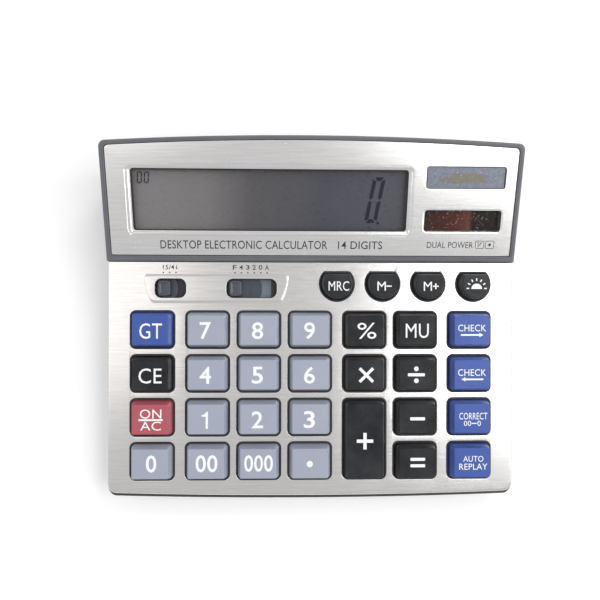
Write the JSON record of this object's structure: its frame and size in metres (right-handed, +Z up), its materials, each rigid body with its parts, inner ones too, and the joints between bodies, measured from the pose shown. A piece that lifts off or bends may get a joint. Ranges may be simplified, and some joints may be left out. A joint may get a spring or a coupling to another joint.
{
  "type": "desk calculator",
  "caption": "Wedge-shaped desk calculator with tilted display head, brushed face plates, tapered keys, round memory keys, slide switches and a rear battery door.",
  "frame": {"origin": "centre of the footprint, on the surface that the calculator stands on", "axes": "+X to the right across the keyboard, +Y to the back, +Z up"},
  "size_m": [0.19, 0.1642, 0.0458],
  "materials": {
    "dark_plastic": "fine-textured dark grey moulded plastic",
    "brushed_plate": "brushed across its width, clear lacquered, lightly worn",
    "grey_key": "blue-grey satin plastic with white legends",
    "black_key": "charcoal satin plastic with white legends",
    "blue_key": "blue satin plastic with white legends",
    "red_key": "faded red satin plastic with white legends",
    "clear_window": "clear acrylic",
    "lcd": "grey liquid crystal glass",
    "light_guide": "pale light guide",
    "solar": "reddish brown amorphous solar film",
    "badge": "plain blue-grey badge, worn",
    "silicone": "moulded silicone",
    "board": "green solder-masked laminate",
    "flex": "amber film",
    "battery_jacket": "plain dark jacket over steel",
    "spring_steel": "nickelled spring steel",
    "foot_rubber": "black rubber",
    "zinc": "zinc plated"
  },
  "bodies": {
    "case": {"backlight_panel": "light_guide", "badge_plate": "badge", "battery": "battery_jacket", "battery_contact": "spring_steel", "battery_spring": "spring_steel", "display_housing": "dark_plastic", "display_plate": "brushed_plate", "display_window": "clear_window", "foot_front_left": "foot_rubber", "foot_front_right": "foot_rubber", "foot_rear_left": "foot_rubber", "foot_rear_right": "foot_rubber", "key_deck": "dark_plastic", "key_membrane": "silicone", "keyboard_plate": "brushed_plate", "lcd_holder": "dark_plastic", "lcd_panel": "lcd", "lcd_ribbon": "flex", "lower_case": "dark_plastic", "main_board": "board", "screw_front_left": "zinc", "screw_front_right": "zinc", "screw_rear_left": "zinc", "screw_rear_right": "zinc", "solar_cell": "solar", "solar_window": "clear_window"},
    "door": {"battery_cover": "dark_plastic"},
    "rounding_knob": {"rounding_switch_knob": "dark_plastic"},
    "decimal_knob": {"decimal_switch_knob": "dark_plastic"},
    "pressed_0": {"key_0": "grey_key"},
    "pressed_00": {"key_00": "grey_key"},
    "pressed_000": {"key_000": "grey_key"},
    "pressed_1": {"key_1": "grey_key"},
    "pressed_2": {"key_2": "grey_key"},
    "pressed_3": {"key_3": "grey_key"},
    "pressed_4": {"key_4": "grey_key"},
    "pressed_5": {"key_5": "grey_key"},
    "pressed_6": {"key_6": "grey_key"},
    "pressed_7": {"key_7": "grey_key"},
    "pressed_8": {"key_8": "grey_key"},
    "pressed_9": {"key_9": "grey_key"},
    "pressed_auto_replay": {"key_auto_replay": "blue_key"},
    "pressed_ce": {"key_ce": "black_key"},
    "pressed_check_back": {"key_check_back": "blue_key"},
    "pressed_check_forward": {"key_check_forward": "blue_key"},
    "pressed_correct": {"key_correct": "blue_key"},
    "pressed_divide": {"key_divide": "black_key"},
    "pressed_equals": {"key_equals": "black_key"},
    "pressed_gt": {"key_gt": "blue_key"},
    "pressed_light": {"key_light": "black_key"},
    "pressed_m_minus": {"key_m_minus": "black_key"},
    "pressed_m_plus": {"key_m_plus": "black_key"},
    "pressed_minus": {"key_minus": "black_key"},
    "pressed_mrc": {"key_mrc": "black_key"},
    "pressed_mu": {"key_mu": "black_key"},
    "pressed_multiply": {"key_multiply": "black_key"},
    "pressed_on_ac": {"key_on_ac": "red_key"},
    "pressed_percent": {"key_percent": "black_key"},
    "pressed_plus": {"key_plus": "black_key"},
    "pressed_point": {"key_point": "grey_key"}
  },
  "joints": [
    {"name": "press_0", "type": "slide", "parent": "case", "child": "pressed_0", "axis": [0, 0.0785, -0.9969], "range_m": [0, 0.0016], "stiffness_N_per_m": 300, "springref_m": -0.0008},
    {"name": "press_00", "type": "slide", "parent": "case", "child": "pressed_00", "axis": [0, 0.0785, -0.9969], "range_m": [0, 0.0016], "stiffness_N_per_m": 300, "springref_m": -0.0008},
    {"name": "press_000", "type": "slide", "parent": "case", "child": "pressed_000", "axis": [0, 0.0785, -0.9969], "range_m": [0, 0.0016], "stiffness_N_per_m": 300, "springref_m": -0.0008},
    {"name": "press_1", "type": "slide", "parent": "case", "child": "pressed_1", "axis": [0, 0.0785, -0.9969], "range_m": [0, 0.0016], "stiffness_N_per_m": 300, "springref_m": -0.0008},
    {"name": "press_2", "type": "slide", "parent": "case", "child": "pressed_2", "axis": [0, 0.0785, -0.9969], "range_m": [0, 0.0016], "stiffness_N_per_m": 300, "springref_m": -0.0008},
    {"name": "press_3", "type": "slide", "parent": "case", "child": "pressed_3", "axis": [0, 0.0785, -0.9969], "range_m": [0, 0.0016], "stiffness_N_per_m": 300, "springref_m": -0.0008},
    {"name": "press_4", "type": "slide", "parent": "case", "child": "pressed_4", "axis": [0, 0.0785, -0.9969], "range_m": [0, 0.0016], "stiffness_N_per_m": 300, "springref_m": -0.0008},
    {"name": "press_5", "type": "slide", "parent": "case", "child": "pressed_5", "axis": [0, 0.0785, -0.9969], "range_m": [0, 0.0016], "stiffness_N_per_m": 300, "springref_m": -0.0008},
    {"name": "press_6", "type": "slide", "parent": "case", "child": "pressed_6", "axis": [0, 0.0785, -0.9969], "range_m": [0, 0.0016], "stiffness_N_per_m": 300, "springref_m": -0.0008},
    {"name": "press_7", "type": "slide", "parent": "case", "child": "pressed_7", "axis": [0, 0.0785, -0.9969], "range_m": [0, 0.0016], "stiffness_N_per_m": 300, "springref_m": -0.0008},
    {"name": "press_8", "type": "slide", "parent": "case", "child": "pressed_8", "axis": [0, 0.0785, -0.9969], "range_m": [0, 0.0016], "stiffness_N_per_m": 300, "springref_m": -0.0008},
    {"name": "press_9", "type": "slide", "parent": "case", "child": "pressed_9", "axis": [0, 0.0785, -0.9969], "range_m": [0, 0.0016], "stiffness_N_per_m": 300, "springref_m": -0.0008},
    {"name": "press_auto_replay", "type": "slide", "parent": "case", "child": "pressed_auto_replay", "axis": [0, 0.0785, -0.9969], "range_m": [0, 0.0016], "stiffness_N_per_m": 300, "springref_m": -0.0008},
    {"name": "press_ce", "type": "slide", "parent": "case", "child": "pressed_ce", "axis": [0, 0.0785, -0.9969], "range_m": [0, 0.0016], "stiffness_N_per_m": 300, "springref_m": -0.0008},
    {"name": "press_check_back", "type": "slide", "parent": "case", "child": "pressed_check_back", "axis": [0, 0.0785, -0.9969], "range_m": [0, 0.0016], "stiffness_N_per_m": 300, "springref_m": -0.0008},
    {"name": "press_check_forward", "type": "slide", "parent": "case", "child": "pressed_check_forward", "axis": [0, 0.0785, -0.9969], "range_m": [0, 0.0016], "stiffness_N_per_m": 300, "springref_m": -0.0008},
    {"name": "press_correct", "type": "slide", "parent": "case", "child": "pressed_correct", "axis": [0, 0.0785, -0.9969], "range_m": [0, 0.0016], "stiffness_N_per_m": 300, "springref_m": -0.0008},
    {"name": "press_divide", "type": "slide", "parent": "case", "child": "pressed_divide", "axis": [0, 0.0785, -0.9969], "range_m": [0, 0.0016], "stiffness_N_per_m": 300, "springref_m": -0.0008},
    {"name": "press_equals", "type": "slide", "parent": "case", "child": "pressed_equals", "axis": [0, 0.0785, -0.9969], "range_m": [0, 0.0016], "stiffness_N_per_m": 300, "springref_m": -0.0008},
    {"name": "press_gt", "type": "slide", "parent": "case", "child": "pressed_gt", "axis": [0, 0.0785, -0.9969], "range_m": [0, 0.0016], "stiffness_N_per_m": 300, "springref_m": -0.0008},
    {"name": "press_light", "type": "slide", "parent": "case", "child": "pressed_light", "axis": [0, 0.0785, -0.9969], "range_m": [0, 0.0016], "stiffness_N_per_m": 300, "springref_m": -0.0008},
    {"name": "press_m_minus", "type": "slide", "parent": "case", "child": "pressed_m_minus", "axis": [0, 0.0785, -0.9969], "range_m": [0, 0.0016], "stiffness_N_per_m": 300, "springref_m": -0.0008},
    {"name": "press_m_plus", "type": "slide", "parent": "case", "child": "pressed_m_plus", "axis": [0, 0.0785, -0.9969], "range_m": [0, 0.0016], "stiffness_N_per_m": 300, "springref_m": -0.0008},
    {"name": "press_minus", "type": "slide", "parent": "case", "child": "pressed_minus", "axis": [0, 0.0785, -0.9969], "range_m": [0, 0.0016], "stiffness_N_per_m": 300, "springref_m": -0.0008},
    {"name": "press_mrc", "type": "slide", "parent": "case", "child": "pressed_mrc", "axis": [0, 0.0785, -0.9969], "range_m": [0, 0.0016], "stiffness_N_per_m": 300, "springref_m": -0.0008},
    {"name": "press_mu", "type": "slide", "parent": "case", "child": "pressed_mu", "axis": [0, 0.0785, -0.9969], "range_m": [0, 0.0016], "stiffness_N_per_m": 300, "springref_m": -0.0008},
    {"name": "press_multiply", "type": "slide", "parent": "case", "child": "pressed_multiply", "axis": [0, 0.0785, -0.9969], "range_m": [0, 0.0016], "stiffness_N_per_m": 300, "springref_m": -0.0008},
    {"name": "press_on_ac", "type": "slide", "parent": "case", "child": "pressed_on_ac", "axis": [0, 0.0785, -0.9969], "range_m": [0, 0.0016], "stiffness_N_per_m": 300, "springref_m": -0.0008},
    {"name": "press_percent", "type": "slide", "parent": "case", "child": "pressed_percent", "axis": [0, 0.0785, -0.9969], "range_m": [0, 0.0016], "stiffness_N_per_m": 300, "springref_m": -0.0008},
    {"name": "press_plus", "type": "slide", "parent": "case", "child": "pressed_plus", "axis": [0, 0.0785, -0.9969], "range_m": [0, 0.0016], "stiffness_N_per_m": 300, "springref_m": -0.0008},
    {"name": "press_point", "type": "slide", "parent": "case", "child": "pressed_point", "axis": [0, 0.0785, -0.9969], "range_m": [0, 0.0016], "stiffness_N_per_m": 300, "springref_m": -0.0008},
    {"name": "rounding_slide", "type": "slide", "parent": "case", "child": "rounding_knob", "axis": [1, 0, 0], "range_m": [0, 0.006]},
    {"name": "decimal_slide", "type": "slide", "parent": "case", "child": "decimal_knob", "axis": [1, 0, 0], "range_m": [0, 0.015]},
    {"name": "door_hinge", "type": "hinge", "parent": "case", "child": "door", "pos_m": [0.05147, 0.0787, 0.01], "axis": [-0.9995, 0.0308, 0], "range_deg": [0, 75]}
  ]
}
